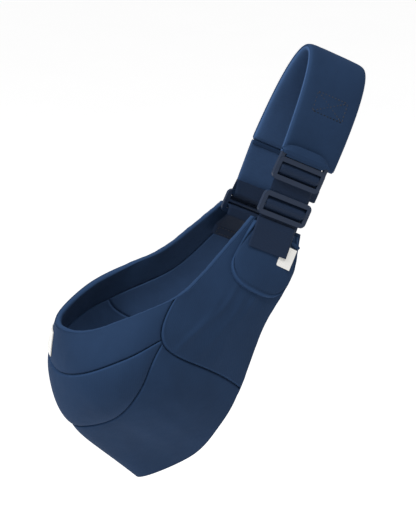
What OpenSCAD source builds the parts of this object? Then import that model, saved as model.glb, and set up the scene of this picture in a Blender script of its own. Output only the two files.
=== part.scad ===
// Soft baby carrier: a one-shoulder padded strap joined by two webbing links to a cupped
// pouch. Lengths are in millimetres. The modules are written in the strap's own frame, in
// which Z runs up the strap, X runs across it and Y runs from the front leg to the rear leg,
// and hang() leans that frame over as the carrier is worn across the body.
// The origin is the underside of the strap's top fold, where the shoulder is.

/* [Wearing] */
// Lean of the whole carrier across the body, in degrees
lean = 26; // [0:1:35]

/* [Shoulder strap] */
// Width of the padded strap at the shoulder
pad_width = 76; // [70:1:80]
// Width of the padded front leg at its end
pad_end_width = 70; // [66:1:74]
// Thickness of the padded strap
pad_thickness = 10; // [9:0.5:12]
// Half the distance between the strap's two legs, at the middle of their thickness
half_gap = 38; // [36:1:40]
// Length of the padded front leg below the top fold
front_leg = 115; // [108:1:118]
// Length of the thickly padded rear leg below the top fold
rear_leg = 115; // [108:1:120]
// Length of the thinner rear end that follows it
rear_end = 58; // [56:1:60]
// Thickness of the thinner rear end
rear_end_thickness = 6; // [5:0.5:7]

/* [Webbing] */
// Width of the webbing
web_width = 50; // [46:1:50]
// Thickness of the webbing
web = 1.6; // [1.2:0.1:1.8]

/* [Slide buckles] */
// Outer width of each slide buckle
buckle_width = 62; // [60:1:64]
// Outer height of each slide buckle
buckle_height = 26.5; // [26:0.5:28]
// Thickness of the buckles' frames
buckle_thickness = 4; // [3.5:0.5:4.5]
// Height of the buckles' outer bars
bar = 5.2; // [5:0.1:5.5]

/* [Pouch] */
// Thickness of the padded pouch cloth with its lining
cloth_thickness = 6; // [5:0.5:7]
// Place of the four-way seam, as a share of the way from the rim to the hem
junction = 0.30; // [0.27:0.01:0.33]
// Lower edge of the rim band at the fold, as a share of the same way
band_at_fold = 0.17; // [0.14:0.01:0.2]
// Lower edge of the cup gore at the fold, as a share of the same way
gore_at_fold = 0.58; // [0.54:0.01:0.62]

/* [Hidden] */

// Colours of the cloth, the webbing, the moulded plastic and the labels
navy = [0.13, 0.22, 0.36];
light_navy = [0.19, 0.29, 0.45];
web_navy = [0.11, 0.16, 0.25];
plastic_navy = [0.16, 0.24, 0.37];
padding_white = [0.88, 0.88, 0.85];
label_white = [0.93, 0.93, 0.91];

// Working clearance between parts that move on each other
gap = 0.3;

// ---- the strap's path -------------------------------------------------------------------
// The legs leave the top fold on a round bend and draw parallel; `spread` is the depth in
// which most of that happens.
spread = 75;
apex = pad_thickness / 2;

// Middle of the strap at depth s below the fold, on the front (-1) or rear (+1) leg
function leg(s, side) = [side * half_gap * sqrt(1 - exp(-s / spread)), apex - s];
// u runs from -1 at the end of the front leg, over 0 at the fold, to 1 at the rear end
function depth(u, front_end, back_end) = u < 0 ? front_end * u * u : back_end * u * u;
function middle(u, f, b) = leg(depth(u, f, b), u < 0 ? -1 : 1);
function out_dir(u, f, b) =
    let (step = 0.01,
         a = middle(max(u - step, -1), f, b),
         c = middle(min(u + step, 1), f, b),
         d = (c - a) / norm(c - a))
    [-d[1], d[0]];
// A point on the strap: u along it, x across it, d outward from its middle
function strap_point(u, x, d, f = front_leg, b = rear_leg) =
    let (m = middle(u, f, b), n = out_dir(u, f, b))
    [x, m[0] + d * n[0], m[1] + d * n[1]];
// Half width of the strap: it narrows towards the buckles
function half_width(u) = (pad_width - (pad_width - pad_end_width) * pow(abs(u), 3)) / 2;

// ---- solids made from two matching grids of points ----------------------------------------
// `top` and `under` are lists of rows with the same number of points. Neighbouring solids
// that are made from shared points meet face to face.
module grid_solid(top, under) {
    rows = len(top);
    cols = len(top[0]);
    count = rows * cols;
    all_points = concat([for (r = top) each r], [for (r = under) each r]);
    skin = [for (i = [0:rows - 2]) for (j = [0:cols - 2])
        let (a = i * cols + j, b = a + 1, c = a + cols, d = c + 1)
        each [[a, b, d], [a, d, c], [count + a, count + d, count + b], [count + a, count + c, count + d]]];
    row_walls = [for (j = [0:cols - 2])
        let (a = j, e = (rows - 1) * cols + j)
        each [[a, count + a + 1, a + 1], [a, count + a, count + a + 1],
              [e, e + 1, count + e + 1], [e, count + e + 1, count + e]]];
    col_walls = [for (i = [0:rows - 2])
        let (a = i * cols, e = i * cols + cols - 1)
        each [[a, a + cols, count + a + cols], [a, count + a + cols, count + a],
              [e, count + e + cols, e + cols], [e, count + e, count + e + cols]]];
    polyhedron(all_points, concat(skin, row_walls, col_walls), convexity = 8);
}

// Leans a piece from the strap's frame to the worn position
module hang() {
    rotate([0, lean, 0]) children();
}

// ---- shoulder strap -----------------------------------------------------------------------
pad_rows = 28;
pad_cols = 4;
cover = 1.2;
pad_out = pad_thickness / 2;
side_seam = 1.6;

function pad_steps(u0, u1, n) = [for (i = [0:n]) u0 + (u1 - u0) * i / n];

// One layer of the padded strap, from d0 to d1 outward of its middle
module pad_layer(d0, d1, u0, u1, rows, inset) {
    top = [for (u = pad_steps(u0, u1, rows)) [for (j = [0:pad_cols])
        strap_point(u, (half_width(u) - inset) * (1 - 2 * j / pad_cols), d1)]];
    under = [for (u = pad_steps(u0, u1, rows)) [for (j = [0:pad_cols])
        strap_point(u, (half_width(u) - inset) * (1 - 2 * j / pad_cols), d0)]];
    grid_solid(top, under);
}

module shoulder_cover() {
    color(navy) hang() pad_layer(pad_out - cover, pad_out, -1, 1, pad_rows, 0);
}

// Load webbing under the cover, from the adjuster tab over the shoulder to the rear end
module shoulder_webbing() {
    color(web_navy) hang()
    pad_layer(pad_out - cover - web, pad_out - cover, -1, 1, pad_rows, (pad_width - web_width) / 2);
}

module shoulder_foam() {
    color(padding_white) hang()
    pad_layer(cover - pad_out, pad_out - cover - web, -1, 1, pad_rows, side_seam);
}

module shoulder_lining() {
    color(light_navy) hang() pad_layer(-pad_out, cover - pad_out, -1, 1, pad_rows, 0);
}

// The turned-in seam along each side of the pad, between the cover and the lining
function seam_x(u, side, j) = side * half_width(u) - (side > 0 ? j : j - 1) * side_seam;
module shoulder_edge_seams() {
    color(navy) hang()
    for (side = [-1, 1]) {
        top = [for (u = pad_steps(-1, 1, pad_rows)) [for (j = [0, 1])
            strap_point(u, seam_x(u, side, j), pad_out - cover)]];
        under = [for (u = pad_steps(-1, 1, pad_rows)) [for (j = [0, 1])
            strap_point(u, seam_x(u, side, j), cover - pad_out)]];
        grid_solid(top, under);
    }
}

// Boxed lines of stitching that hold the load webbing on the front leg
module shoulder_box_stitching() {
    thread = 0.4;
    half_w = 20;
    lift = 0.02;
    line = 0.6;
    color(web_navy) hang()
    for (s = [44, 66]) {
        us = [for (k = [1, -1]) -sqrt((s + k * line) / front_leg)];
        grid_solid([for (u = us) [for (k = [1, -1]) strap_point(u, k * half_w, pad_out + thread)]],
                   [for (u = us) [for (k = [1, -1]) strap_point(u, k * half_w, pad_out + lift)]]);
    }
}

// ---- rear end of the strap ------------------------------------------------------------------
rear_total = rear_leg + rear_end;
rear_half_start = 35;
rear_half_end = 30;
rear_out = rear_end_thickness / 2;
rear_rows = 8;

function rear_u(i) = sqrt((rear_leg + gap + (rear_end - gap) * i / rear_rows) / rear_total);
function rear_half(i) = rear_half_start + (rear_half_end - rear_half_start) * i / rear_rows;

module rear_layer(d0, d1, inset) {
    top = [for (i = [0:rear_rows]) [for (j = [0:2])
        strap_point(rear_u(i), (rear_half(i) - inset) * (1 - j), d1, front_leg, rear_total)]];
    under = [for (i = [0:rear_rows]) [for (j = [0:2])
        strap_point(rear_u(i), (rear_half(i) - inset) * (1 - j), d0, front_leg, rear_total)]];
    grid_solid(top, under);
}

module rear_strap_cover() {
    color(navy) hang() rear_layer(rear_out - cover, rear_out, 0);
}

module rear_strap_padding() {
    color(padding_white) hang() rear_layer(cover - rear_out, rear_out - cover, 0);
}

module rear_strap_lining() {
    color(light_navy) hang() rear_layer(-rear_out, cover - rear_out, 0);
}

// Tape over the cross seam where the thick pad ends, on the strap's inner face
module rear_seam_tape() {
    tape = 0.8;
    length = 4;
    color(navy) hang() {
        d = -rear_out - gap;
        top = [for (i = [0, 1]) [for (x = [1, -1])
            strap_point(sqrt((rear_leg + gap + length * i) / rear_total), x * 34, d,
                        front_leg, rear_total)]];
        under = [for (i = [0, 1]) [for (x = [1, -1])
            strap_point(sqrt((rear_leg + gap + length * i) / rear_total), x * 34, d - tape,
                        front_leg, rear_total)]];
        grid_solid(top, under);
    }
}

// ---- slide buckles --------------------------------------------------------------------------
round_bar = 4.6;
cross_bar = 4;
side_bar = (buckle_width - web_width) / 2 - 1;
corner = 6;

// Places of the buckles: the webbing hangs a little to one side of the strap's middle, y is the
// middle of the frame, and z its top and bottom
web_x = -9.5;
lock_y = -43.5;
lock_top = -104.3;
lock_bottom = -136.2;
keeper_y = -45;
keeper_top = -149.6;
keeper_bottom = keeper_top - buckle_height;
rear_y = 27.4;
rear_top = -168;
rear_bottom = rear_top - buckle_height;

// A flat frame round a window, with corners of the given radius and a round bar across the window
module slide_frame(y, top, bottom) {
    high = top - bottom;
    translate([0, y + buckle_thickness / 2, (top + bottom) / 2]) rotate([90, 0, 0])
    linear_extrude(buckle_thickness) difference() {
        square([buckle_width, high], center = true);
        for (sx = [-1, 1]) for (sz = [-1, 1])
            translate([sx * (buckle_width / 2 - corner), sz * (high / 2 - corner)])
            difference() {
                translate([sx * corner / 2 + sx * 0.5, sz * corner / 2 + sz * 0.5])
                square(corner + 1, center = true);
                circle(r = corner, $fn = 48);
            }
        square([buckle_width - 2 * side_bar, high - 2 * bar], center = true);
    }
    cross_piece(y, (top + bottom) / 2, cross_bar);
}

// A round bar across a window
module cross_piece(y, z, d) {
    translate([0, y, z]) rotate([0, 90, 0])
    cylinder(d = d, h = buckle_width - 2 * side_bar + 1, center = true, $fn = 48);
}

// The ladder lock's round bar for the tab lies above its frame, on two short arms
lock_axis_z = lock_top - round_bar / 2;
lock_frame_top = lock_top - 6.8;
lock_cross_z = (lock_frame_top + lock_bottom) / 2;
arm = side_bar - 0.6;

module ladder_lock() {
    color(plastic_navy) hang() translate([web_x, 0, 0]) union() {
        slide_frame(lock_y, lock_frame_top, lock_bottom);
        for (side = [-1, 1])
            translate([side * (buckle_width - side_bar) / 2, lock_y,
                       (lock_axis_z + lock_frame_top - corner) / 2])
            cube([arm, round_bar - 1, lock_axis_z - lock_frame_top + corner], center = true);
        cross_piece(lock_y, lock_axis_z, round_bar);
    }
}

module keeper_slider() {
    color(plastic_navy) hang() translate([web_x, 0, 0]) slide_frame(keeper_y, keeper_top, keeper_bottom);
}

module rear_slider() {
    color(plastic_navy) hang() translate([web_x, 0, 0]) slide_frame(rear_y, rear_top, rear_bottom);
}

// ---- webbing pieces that run straight across in X ---------------------------------------------
// A closed outline drawn in Y and Z, spread along X
module across(width) {
    rotate([90, 0, 90]) translate([0, 0, -width / 2]) linear_extrude(width) children();
}

// A band of thickness t that follows a list of places in Y and Z
function side_of(path, i) =
    let (a = path[max(i - 1, 0)], b = path[min(i + 1, len(path) - 1)], d = (b - a) / norm(b - a))
    [-d[1], d[0]];
module ribbon(path, t, width) {
    last = len(path) - 1;
    across(width) polygon(concat(
        [for (i = [0:last]) path[i] + side_of(path, i) * t / 2],
        [for (i = [last:-1:0]) path[i] - side_of(path, i) * t / 2]));
}

// Places on a round bend about a centre
function bend(centre, r, from, to, n = 8) =
    [for (i = [0:n]) let (a = from + (to - from) * i / n) centre + r * [cos(a), sin(a)]];

// The fabric tab on the front leg, folded round the ladder lock's upper bar
tab_ply = 1.5;
tab_r = round_bar / 2 + gap + tab_ply / 2;
tab_top = -96;
tab_width = 61;
module adjuster_tab() {
    y = lock_y;
    pad_face = -39.5;
    path = concat([[pad_face, tab_top]], bend([y, lock_axis_z], tab_r, 0, -180),
                  [[y - tab_r, lock_axis_z + 2], [pad_face - tab_ply - 0.6, tab_top]]);
    color(navy) hang() translate([web_x, 0, 0]) intersection() {
        ribbon(path, tab_ply, tab_width + 10);
        rotate([90, 0, 0]) translate([0, 0, 30]) linear_extrude(40) {
            translate([0, lock_axis_z - 12]) square([web_width - 0.6, 24], center = true);
            difference() {
                translate([-tab_width / 2, lock_axis_z]) square([tab_width, tab_top - lock_axis_z + 1]);
                for (sx = [-1, 1]) translate([sx * tab_width / 2, tab_top + 1])
                    rotate(45) square(11, center = true);
            }
        }
    }
}

// Webbing loop from the rear end of the strap round the rear slider's upper bar
loop_r = norm([bar, buckle_thickness]) / 2 + gap + web / 2;
module rear_upper_loop() {
    z = rear_top - bar / 2;
    color(web_navy) hang() translate([web_x, 0, 0])
    ribbon(concat([[rear_y + 3.1, z + 14]], bend([rear_y, z], loop_r, 0, -180),
                  [[rear_y + 1.1, z + 14]]), web, web_width);
}

// ---- pouch surface ------------------------------------------------------------------------------
// t runs along the band: 0 where the front begins under its webbing, 3 at the front cross
// seam, 6 at the fold, 9 at the rear cross seam and 12 at the rear top.
// v runs across it, from the rim (0) to the hem (1).
rim = [
    [-39, -34, -184], [-50, -40, -218], [-72, -50, -260], [-99, -62, -291],
    [-133, -58, -325], [-163, -36, -359], [-175, 0, -369], [-163, 36, -359],
    [-133, 58, -325], [-99, 62, -291], [-72, 51, -260], [-50, 42.5, -218], [-34, 38, -186]
];
hem = [
    [25, -34, -183], [33, -40, -228], [22, -46, -290], [24, -50, -360],
    [21, -46, -405], [14, -30, -450], [-17, 0, -495], [14, 30, -450],
    [21, 46, -405], [24, 50, -360], [22, 47, -290], [33, 42.5, -228], [30, 38, -186]
];
// How the cloth leaves the rim and reaches the hem, for t from 0 to 6 and mirrored beyond
rim_pull = [
    [20, 0, 0], [26, -6, -6], [22, -14, -30], [-24, -20, -78], [-12, -26, -86], [6, -18, -96], [36, 0, -104]
];
hem_pull = [
    [-20, 0, 0], [-28, -4, 4], [-34, -12, 12], [-84, -24, 26], [-94, -30, 16], [-104, -26, 28], [-117, 0, 40]
];
fold_t = 6;
seam_t = 3;
end_t = 12;

function mirrored(list, k) = k <= fold_t ? list[k] :
    let (p = list[end_t - k]) [p[0], -p[1], p[2]];
rim_lead = [for (k = [0:end_t]) mirrored(rim_pull, k)];
hem_lead = [for (k = [0:end_t]) mirrored(hem_pull, k)];

function spline(list, t) =
    let (last = len(list) - 1, i = min(floor(t), last - 1), f = t - i,
         b = list[i], c = list[i + 1],
         a = i > 0 ? list[i - 1] : 2 * b - c,
         d = i + 2 <= last ? list[i + 2] : 2 * c - b)
    0.5 * (2 * b + (c - a) * f + (2 * a - 5 * b + 4 * c - d) * f * f + (3 * b - a - 3 * c + d) * pow(f, 3));

function cloth(t, v) =
    let (a = spline(rim, t), d = spline(hem, t), w = 1 - v)
    pow(w, 3) * a + 3 * w * w * v * (a + spline(rim_lead, t))
    + 3 * w * v * v * (d + spline(hem_lead, t)) + pow(v, 3) * d;
function unit(p) = p / norm(p);
function along_t(t, v) = cloth(min(t + 0.02, end_t), v) - cloth(max(t - 0.02, 0), v);
function along_v(t, v) = cloth(t, min(v + 0.01, 1)) - cloth(t, max(v - 0.01, 0));
// A point of the pouch, d outward of the middle of its cloth
function pouch_point(t, v, d) = cloth(t, v) + d * unit(cross(along_t(t, v), along_v(t, v)));

// The seams: the rim band's lower edge and the gore's lower edge both start at the junction
seam_half = 0.012;
function seam_share(t) = sin(90 * pow(min(1, max(0, 1 - abs(t - fold_t) / (fold_t - seam_t))), 0.8));
function band_edge(t) = junction - seam_half + (band_at_fold - junction + seam_half) * seam_share(t);
function side_share(t) = min(1, max(0, (abs(t - fold_t) - fold_t + seam_t) / seam_t));
function gore_edge(t) = junction + seam_half + (gore_at_fold - junction - seam_half) * seam_share(t)
    + 0.28 * side_share(t);

// Columns 0 to 3 are the rim band, 3 to 7 the gore and 7 to 12 the seat base
band_cols = 3;
gore_cols = 4;
base_cols = 5;
gore_col = band_cols + gore_cols;
last_col = gore_col + base_cols;
function col_v(t, j) =
    j <= band_cols ? band_edge(t) * j / band_cols :
    j <= gore_col ? band_edge(t) + (gore_edge(t) - band_edge(t)) * (j - band_cols) / gore_cols :
    gore_edge(t) + (1 - gore_edge(t)) * (j - gore_col) / base_cols;

module pouch_layer(t0, t1, j0, j1, d0, d1) {
    steps = [t0:0.5:t1];
    grid_solid([for (t = steps) [for (j = [j0:j1]) pouch_point(t, col_v(t, j), d1)]],
               [for (t = steps) [for (j = [j0:j1]) pouch_point(t, col_v(t, j), d0)]]);
}

shell = 1.2;
face = cloth_thickness / 2;

module front_side_panel() {
    color(navy) hang() pouch_layer(0, seam_t, 0, last_col, face - shell, face);
}

module rear_side_panel() {
    color(navy) hang() pouch_layer(end_t - seam_t, end_t, 0, last_col, face - shell, face);
}

module rim_band() {
    color(navy) hang() pouch_layer(seam_t, end_t - seam_t, 0, band_cols, face - shell, face);
}

module cup_gore() {
    color(navy) hang() pouch_layer(seam_t, end_t - seam_t, band_cols, gore_col, face - shell, face);
}

module seat_base_panel() {
    color(navy) hang() pouch_layer(seam_t, end_t - seam_t, gore_col, last_col, face - shell, face);
}

module pouch_wadding() {
    color(padding_white) hang() pouch_layer(0, end_t, 0, last_col, shell - face, face - shell);
}

module rim_facing() {
    color(navy) hang() pouch_layer(0, end_t, 0, band_cols, -face, shell - face);
}

module front_lining() {
    color(light_navy) hang() pouch_layer(0, seam_t, band_cols, last_col, -face, shell - face);
}

module seat_lining() {
    color(light_navy) hang() pouch_layer(seam_t, end_t - seam_t, band_cols, last_col, -face, shell - face);
}

module rear_lining() {
    color(light_navy) hang() pouch_layer(end_t - seam_t, end_t, band_cols, last_col, -face, shell - face);
}

// Rolled edge along one border of the cloth: half round, standing off the border by e
function edge_point(t, v, angle, e) =
    pouch_point(t, v, face * cos(angle))
    + (v < 0.5 ? -1 : 1) * (e + face * sin(angle)) * unit(along_v(t, v));
module rolled_edge(v) {
    inner = 0.35;
    top = [for (t = [0:0.5:end_t]) [for (a = [0:45:180]) edge_point(t, v, a, inner)]];
    under = [for (t = [0:0.5:end_t]) [for (a = [0:45:180])
        edge_point(t, v, a, inner) - (v < 0.5 ? -1 : 1) * face * sin(a) * unit(along_v(t, v))
        - (v < 0.5 ? -1 : 1) * 0.02 * unit(along_v(t, v))]];
    if (v < 0.5)
        grid_solid([for (r = top) [for (k = [4:-1:0]) r[k]]], [for (r = under) [for (k = [4:-1:0]) r[k]]]);
    else grid_solid(top, under);
}

module rim_binding() {
    color(navy) hang() rolled_edge(0);
}

module hem_binding() {
    color(navy) hang() rolled_edge(1);
}

// ---- padded flap on the front, under the webbing -----------------------------------------------
flap_t0 = 0.1;
flap_side = 1.05;
flap_end = 0.45;
flap_cols = 10;
flap_rows = 8;
flap_gap = 0.6;
flap_pad = 3;
function flap_length(s) = flap_side + flap_end * pow(1 - pow(abs(2 * s - 1), 3), 1 / 3);
function flap_left(t) = 0.09 * t;
function flap_t(r, s) = flap_t0 + flap_length(s) * r;
function flap_v(r, s) =
    let (left = flap_left(flap_t(r, s)), right = 0.97) left + (right - left) * s;
module flap_layer(d0, d1) {
    grid_solid(
        [for (i = [0:flap_rows]) [for (j = [0:flap_cols])
            let (r = i / flap_rows, s = j / flap_cols) pouch_point(flap_t(r, s), flap_v(r, s), d1)]],
        [for (i = [0:flap_rows]) [for (j = [0:flap_cols])
            let (r = i / flap_rows, s = j / flap_cols) pouch_point(flap_t(r, s), flap_v(r, s), d0)]]);
}

module flap_padding() {
    color(padding_white) hang() flap_layer(face + flap_gap, face + flap_gap + flap_pad);
}

module flap_cover() {
    color(navy) hang() flap_layer(face + flap_gap + flap_pad, face + flap_gap + flap_pad + shell);
}

// ---- front webbing, its sewn patch and its tail ----------------------------------------------
patch_x = -11;
patch_y = -46;
behind = buckle_thickness / 2 + web / 2 + gap;
over = cross_bar / 2 + web / 2 + gap;
keeper_mid = (keeper_top + keeper_bottom) / 2;

// The sewn end on the flap, doubled along its bottom hem
module webbing_patch() {
    path = [[-44.6, -180], [patch_y - 0.5, -186], [patch_y - 2.2, -196], [patch_y - 4.6, -212]];
    color(web_navy) hang() translate([patch_x, 0, 0]) union() {
        ribbon(path, web, web_width);
        ribbon([[patch_y - 4.6, -206], [patch_y - 5.5, -212]], web + 0.6, web_width);
    }
}

// The run that goes behind the keeper's frame and over its middle bar, then the same at the
// ladder lock, and folds back down behind it
module front_webbing() {
    path = concat(
        [[-42.6, -183], [keeper_y + behind, keeper_bottom - 1.5]],
        [[keeper_y + behind, keeper_bottom + bar + 1], [keeper_y - over, keeper_mid - 1.6],
         [keeper_y - over, keeper_mid + 1.6], [keeper_y + behind, keeper_top - bar - 1]],
        [[keeper_y + behind, keeper_top + 1], [lock_y + behind, lock_bottom - 1],
         [lock_y + behind, lock_bottom + bar + 1], [lock_y - over, lock_cross_z - 2]],
        [[lock_y - over, lock_cross_z + 1.5], [lock_y - 1, lock_cross_z + 4],
         [lock_y + 4.6, lock_cross_z + 2.5], [lock_y + 6.4, lock_cross_z - 3],
         [lock_y + 6.4, tail_top + 0.5]]);
    color(web_navy) hang() translate([web_x, 0, 0]) ribbon(path, web, web_width);
}

tail_x = 7;
tail_y = -29.6;
tail_top = -132.6;
tail_length = 14;
module webbing_tail() {
    color(web_navy) hang() translate([tail_x, tail_y, tail_top - tail_length / 2])
    cube([web_width, web, tail_length], center = true);
}

// The turned-up hem that stops the tail from pulling through
module tail_hem() {
    color(web_navy) hang() translate([tail_x, tail_y + web, tail_top - tail_length / 2])
    cube([web_width, web, tail_length - 2], center = true);
}

// ---- rear webbing on the inside of the rear panel -------------------------------------------------
// It passes inside the lower bar with some slack, goes behind the middle bar and ends over it
rear_mid = (rear_top + rear_bottom) / 2;
rear_r = cross_bar / 2 + 1 + web / 2;
module rear_webbing() {
    path = concat([[36.2, -222], [34.6, -211], [rear_y - 7.7, rear_bottom - 1],
                   [rear_y - 5.1, rear_mid - 5.6],
                   [rear_y + rear_r, rear_mid - 1.6]], bend([rear_y, rear_mid], rear_r, 0, 100));
    color(web_navy) hang() translate([web_x, 0, 0]) ribbon(path, web, web_width);
}

module rear_box_stitching() {
    y = 32.8;
    thread = 0.4;
    color(navy) hang()
    for (z = [-213, -220]) translate([web_x, y + (z < -218 ? 1 : 0), z])
        cube([40, thread, 1], center = true);
}

// ---- labels and the hanging loop ---------------------------------------------------------------------
module side_label() {
    thin = 0.4;
    color(label_white) hang() translate([15, -49.2, -210.5]) rotate([-8.5, 4, 0])
    cube([18, thin, 23], center = true);
}

module hanging_loop() {
    color(navy) hang() translate([21, -46.2, -195.2]) rotate([0, 15, 0])
    cube([12, 1.6, 4], center = true);
}

// Blank woven label folded over the rim band at the fold
module rim_label() {
    thin = 0.6;
    steps = [fold_t - 0.1, fold_t + 0.15, fold_t + 0.4];
    color(label_white) hang() grid_solid(
        [for (t = steps) [for (v = [0.03, 0.08, 0.13]) pouch_point(t, v, face + 0.1 + thin)]],
        [for (t = steps) [for (v = [0.03, 0.08, 0.13]) pouch_point(t, v, face + 0.1)]]);
}

shoulder_cover();
shoulder_webbing();
shoulder_foam();
shoulder_lining();
shoulder_edge_seams();
shoulder_box_stitching();
adjuster_tab();
rear_strap_cover();
rear_strap_padding();
rear_strap_lining();
rear_seam_tape();
rear_upper_loop();
ladder_lock();
keeper_slider();
rear_slider();
webbing_tail();
tail_hem();
front_webbing();
webbing_patch();
front_side_panel();
rear_side_panel();
rim_band();
cup_gore();
seat_base_panel();
pouch_wadding();
rim_facing();
front_lining();
seat_lining();
rear_lining();
rim_binding();
hem_binding();
flap_padding();
flap_cover();
rear_webbing();
rear_box_stitching();
side_label();
hanging_loop();
rim_label();
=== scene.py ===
"""Looks of the soft baby carrier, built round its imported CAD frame.

Soft pieces are written in the strap's own frame in millimetres, as the CAD is: Z runs up the
strap, X across it and Y from the front leg to the rear leg. to_row() leans them over by LEAN
and gives metres in the row frame.
"""

import math

import bmesh
import bpy
import numpy as np
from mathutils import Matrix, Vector


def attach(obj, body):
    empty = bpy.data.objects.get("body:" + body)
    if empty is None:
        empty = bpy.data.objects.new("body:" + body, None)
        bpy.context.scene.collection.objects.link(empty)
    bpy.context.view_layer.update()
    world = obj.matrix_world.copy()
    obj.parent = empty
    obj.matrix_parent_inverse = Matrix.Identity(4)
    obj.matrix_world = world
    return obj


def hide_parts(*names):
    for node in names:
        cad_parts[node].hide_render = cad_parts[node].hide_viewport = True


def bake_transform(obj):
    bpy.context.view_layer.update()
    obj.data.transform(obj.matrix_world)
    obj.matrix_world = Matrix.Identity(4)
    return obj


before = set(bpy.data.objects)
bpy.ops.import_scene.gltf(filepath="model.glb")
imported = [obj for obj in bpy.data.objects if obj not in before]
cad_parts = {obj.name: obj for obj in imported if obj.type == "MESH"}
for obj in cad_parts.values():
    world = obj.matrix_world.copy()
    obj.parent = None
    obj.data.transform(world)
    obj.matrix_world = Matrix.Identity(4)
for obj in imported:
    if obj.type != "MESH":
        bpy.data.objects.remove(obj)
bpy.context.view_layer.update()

LEAN = math.radians(26)
MM = 0.001

# ---- the frame ------------------------------------------------------------------------------


def to_row(points):
    """Points of the strap's frame in millimetres, as metres in the row frame."""
    p = np.asarray(points, float)
    c, s = math.cos(LEAN), math.sin(LEAN)
    x, y, z = p[..., 0], p[..., 1], p[..., 2]
    return np.stack([x * c + z * s, y, -x * s + z * c], -1) * MM


def unit(v):
    return v / np.maximum(np.linalg.norm(v, axis=-1, keepdims=True), 1e-9)


def smoothstep(x):
    x = np.clip(x, 0, 1)
    return x * x * (3 - 2 * x)


# ---- the shapes that the CAD has ---------------------------------------------------------------

PAD_WIDE = 76.0
PAD_END_WIDE = 70.0
PAD_OUT = 5.0
FRONT_LEG = 115.0
REAR_LEG = 115.0
REAR_TOTAL = 173.0
REAR_END_WIDE = 60.0
REAR_END_OUT = 3.0
HALF_GAP = 38.0
SPREAD = 75.0


def strap_middle(u, front, rear):
    """Middle of the strap's thickness: y and z for u from -1 over 0 at the fold to 1."""
    s = np.where(u < 0, front, rear) * u * u
    return np.stack([np.sign(u) * HALF_GAP * np.sqrt(1 - np.exp(-s / SPREAD)), PAD_OUT - s], -1)


def strap_point(u, x, d, front=FRONT_LEG, rear=REAR_LEG):
    """A point on the strap: u along it, x across it, d outward from its middle."""
    u, x, d = np.broadcast_arrays(u, x, d)
    a = strap_middle(np.maximum(u - 0.01, -1), front, rear)
    b = strap_middle(np.minimum(u + 0.01, 1), front, rear)
    t = unit(b - a)
    m = strap_middle(u, front, rear)
    return np.stack([x, m[..., 0] - d * t[..., 1], m[..., 1] + d * t[..., 0]], -1)


def strap_half(u):
    """Half of the pad's width, which narrows to its two ends."""
    return (PAD_WIDE - (PAD_WIDE - PAD_END_WIDE) * np.abs(u) ** 3) / 2


# Points of the pouch's rim and hem at t = 0 to 12, and how far the two inner control points of
# the curve between them lie from them at t = 0 to 6
RIM = [
    [-34, -34, -183], [-50, -40, -218], [-72, -50, -260], [-99, -62, -291],
    [-133, -58, -325], [-163, -36, -359], [-175, 0, -369], [-163, 36, -359],
    [-133, 58, -325], [-99, 62, -291], [-72, 51, -260], [-50, 42.5, -218], [-34, 38, -186],
]
HEM = [
    [25, -34, -183], [33, -40, -228], [22, -46, -290], [24, -50, -360],
    [21, -46, -405], [14, -30, -450], [-17, 0, -495], [14, 30, -450],
    [21, 46, -405], [24, 50, -360], [22, 47, -290], [33, 42.5, -228], [30, 38, -186],
]
RIM_PULL = [
    [20, 0, 0], [26, -6, -6], [22, -14, -30], [-24, -20, -78],
    [-12, -26, -86], [6, -18, -96], [36, 0, -104],
]
HEM_PULL = [
    [-20, 0, 0], [-28, -4, 4], [-34, -12, 12], [-84, -24, 26],
    [-94, -30, 16], [-104, -26, 28], [-117, 0, 40],
]
# t of the front seam, the fold, the rear seam and the rear end
T_SEAM, T_FOLD, T_REAR, T_END = 3, 6, 9, 12
# v at which the band's and the gore's edges meet, half of their gap there, and their v at the fold
JUNCTION = 0.30
SEAM_HALF = 0.012
BAND_AT_FOLD = 0.17
GORE_AT_FOLD = 0.58
FACE = 3.0


def mirrored(pulls):
    """The seven pulls from the front to the fold, and their mirror image to the rear."""
    back = [[p[0], -p[1], p[2]] for p in pulls[-2::-1]]
    return np.array(pulls + back, float)


CURVES = [np.array(RIM, float), np.array(HEM, float), mirrored(RIM_PULL), mirrored(HEM_PULL)]


def spline(points, t):
    """Catmull-Rom curve through points at whole numbers of t."""
    last = len(points) - 1
    i = np.clip(np.floor(t).astype(int), 0, last - 1)
    f = (t - i)[..., None]
    b, c = points[i], points[i + 1]
    a = np.where((i > 0)[..., None], points[np.maximum(i - 1, 0)], 2 * b - c)
    d = np.where((i + 2 <= last)[..., None], points[np.minimum(i + 2, last)], 2 * c - b)
    return 0.5 * (2 * b + (c - a) * f + (2 * a - 5 * b + 4 * c - d) * f**2
                  + (3 * b - a - 3 * c + d) * f**3)


def cloth(t, v):
    """Middle of the pouch's cloth: t along the band, v from the rim (0) to the hem (1)."""
    a, d, lead, reach = (spline(k, t) for k in CURVES)
    v = v[..., None]
    w = 1 - v
    return w**3 * a + 3 * w * w * v * (a + lead) + 3 * w * v * v * (d + reach) + v**3 * d


def cloth_frame(t, v):
    """Middle point, outward normal and the unit direction of growing v."""
    dt = cloth(np.minimum(t + 0.02, T_END), v) - cloth(np.maximum(t - 0.02, 0), v)
    dv = cloth(t, np.minimum(v + 0.01, 1)) - cloth(t, np.maximum(v - 0.01, 0))
    return cloth(t, v), unit(np.cross(dt, dv)), unit(dv)


def seam_share(t):
    """1 at the fold, 0 at the front and rear seams and beyond."""
    near = np.clip(1 - np.abs(t - T_FOLD) / (T_FOLD - T_SEAM), 0, 1)
    return np.sin(np.pi / 2 * near**0.8)


def band_edge(t):
    start = JUNCTION - SEAM_HALF
    return start + (BAND_AT_FOLD - start) * seam_share(t)


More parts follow.
